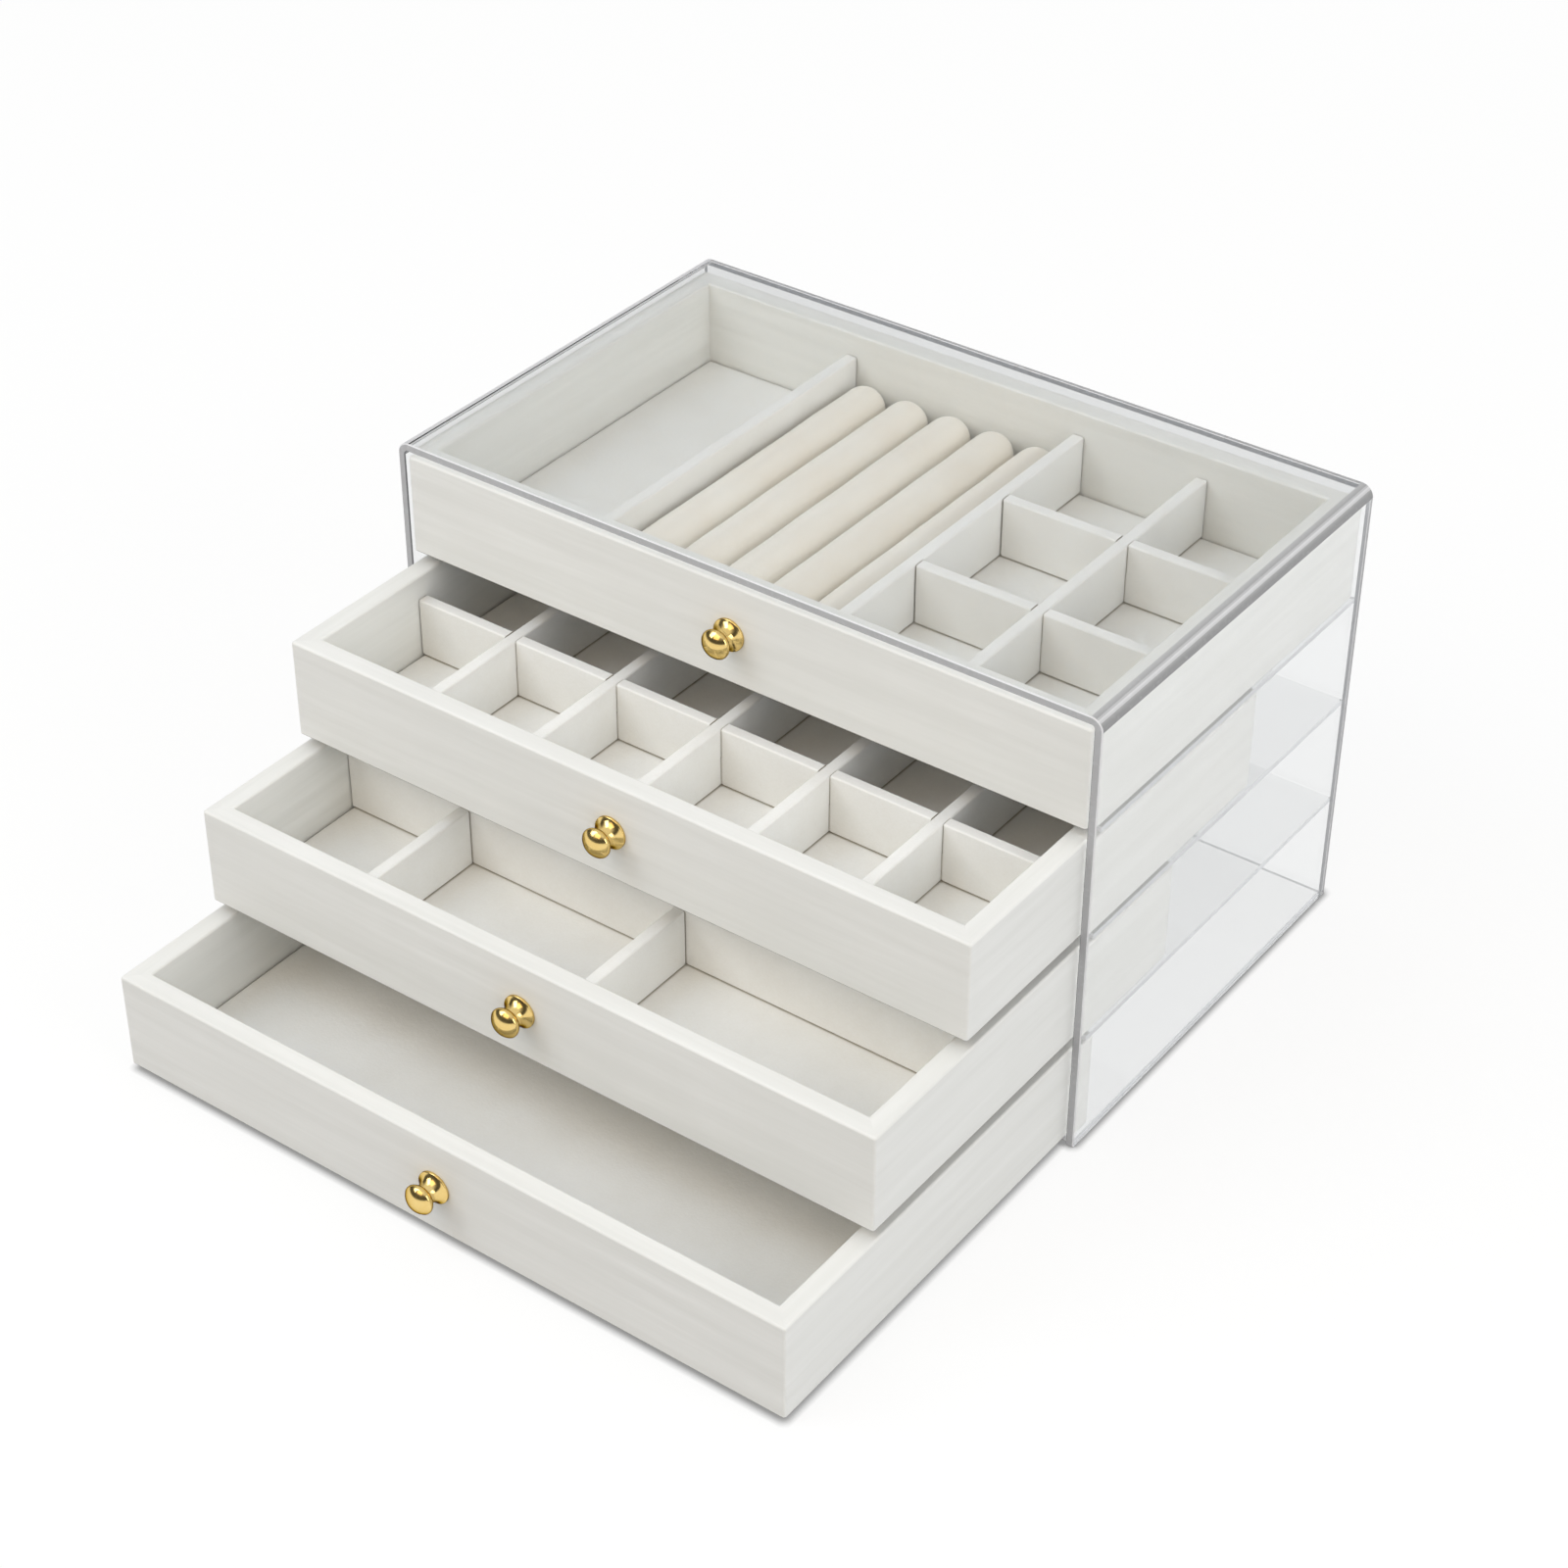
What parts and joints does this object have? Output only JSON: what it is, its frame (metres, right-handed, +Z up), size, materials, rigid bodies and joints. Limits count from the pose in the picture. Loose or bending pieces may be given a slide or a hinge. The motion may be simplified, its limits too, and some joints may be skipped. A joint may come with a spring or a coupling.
{
  "type": "jewelry organizer with drawers",
  "caption": "Clear acrylic jewellery case with white lined drawers on brass knobs, divided inside for rings, earrings and necklaces.",
  "frame": {"origin": "centre of the case underside, on the surface the organizer stands on", "axes": "+X to the right as seen from the front, +Y to the back, +Z up"},
  "size_m": [0.28, 0.3351, 0.17],
  "materials": {
    "clear_acrylic": "gloss",
    "painted_board": "matte",
    "floor_board": "matte",
    "velvet": "matte",
    "cream_velvet": "matte",
    "brass": "polished",
    "steel": "satin"
  },
  "bodies": {
    "case": {"case_back": "clear_acrylic", "case_base": "clear_acrylic", "case_shell": "clear_acrylic", "lower_shelf": "clear_acrylic", "middle_shelf": "clear_acrylic", "upper_shelf": "clear_acrylic"},
    "top_drawer": {"grid_column_divider_1": "velvet", "grid_edge_divider": "velvet", "grid_row_divider_1": "velvet", "grid_row_divider_2": "velvet", "ring_roll_1": "cream_velvet", "ring_roll_2": "cream_velvet", "ring_roll_3": "cream_velvet", "ring_roll_4": "cream_velvet", "ring_roll_5": "cream_velvet", "top_drawer_back": "painted_board", "top_drawer_floor": "floor_board", "top_drawer_front": "painted_board", "top_drawer_knob": "brass", "top_drawer_knob_screw": "steel", "top_drawer_left_side": "painted_board", "top_drawer_liner": "velvet", "top_drawer_right_side": "painted_board", "tray_divider": "velvet"},
    "second_drawer": {"cell_column_divider_1": "velvet", "cell_column_divider_2": "velvet", "cell_column_divider_3": "velvet", "cell_column_divider_4": "velvet", "cell_column_divider_5": "velvet", "cell_row_divider_1": "velvet", "cell_row_divider_2": "velvet", "second_drawer_back": "painted_board", "second_drawer_floor": "floor_board", "second_drawer_front": "painted_board", "second_drawer_knob": "brass", "second_drawer_knob_screw": "steel", "second_drawer_left_side": "painted_board", "second_drawer_liner": "velvet", "second_drawer_right_side": "painted_board"},
    "third_drawer": {"bin_cross_divider": "velvet", "bin_left_divider": "velvet", "bin_right_divider": "velvet", "third_drawer_back": "painted_board", "third_drawer_floor": "floor_board", "third_drawer_front": "painted_board", "third_drawer_knob": "brass", "third_drawer_knob_screw": "steel", "third_drawer_left_side": "painted_board", "third_drawer_liner": "velvet", "third_drawer_right_side": "painted_board"},
    "bottom_drawer": {"bottom_drawer_back": "painted_board", "bottom_drawer_floor": "floor_board", "bottom_drawer_front": "painted_board", "bottom_drawer_knob": "brass", "bottom_drawer_knob_screw": "steel", "bottom_drawer_left_side": "painted_board", "bottom_drawer_liner": "velvet", "bottom_drawer_right_side": "painted_board"}
  },
  "joints": [
    {"name": "top_drawer_slide", "type": "slide", "parent": "case", "child": "top_drawer", "axis": [0, -1, 0], "range_m": [0, 0.158]},
    {"name": "second_drawer_slide", "type": "slide", "parent": "case", "child": "second_drawer", "axis": [0, -1, 0], "range_m": [-0.06273, 0.09527]},
    {"name": "third_drawer_slide", "type": "slide", "parent": "case", "child": "third_drawer", "axis": [0, -1, 0], "range_m": [-0.11028, 0.04772]},
    {"name": "bottom_drawer_slide", "type": "slide", "parent": "case", "child": "bottom_drawer", "axis": [0, -1, 0], "range_m": [-0.15484, 0.00316]}
  ]
}
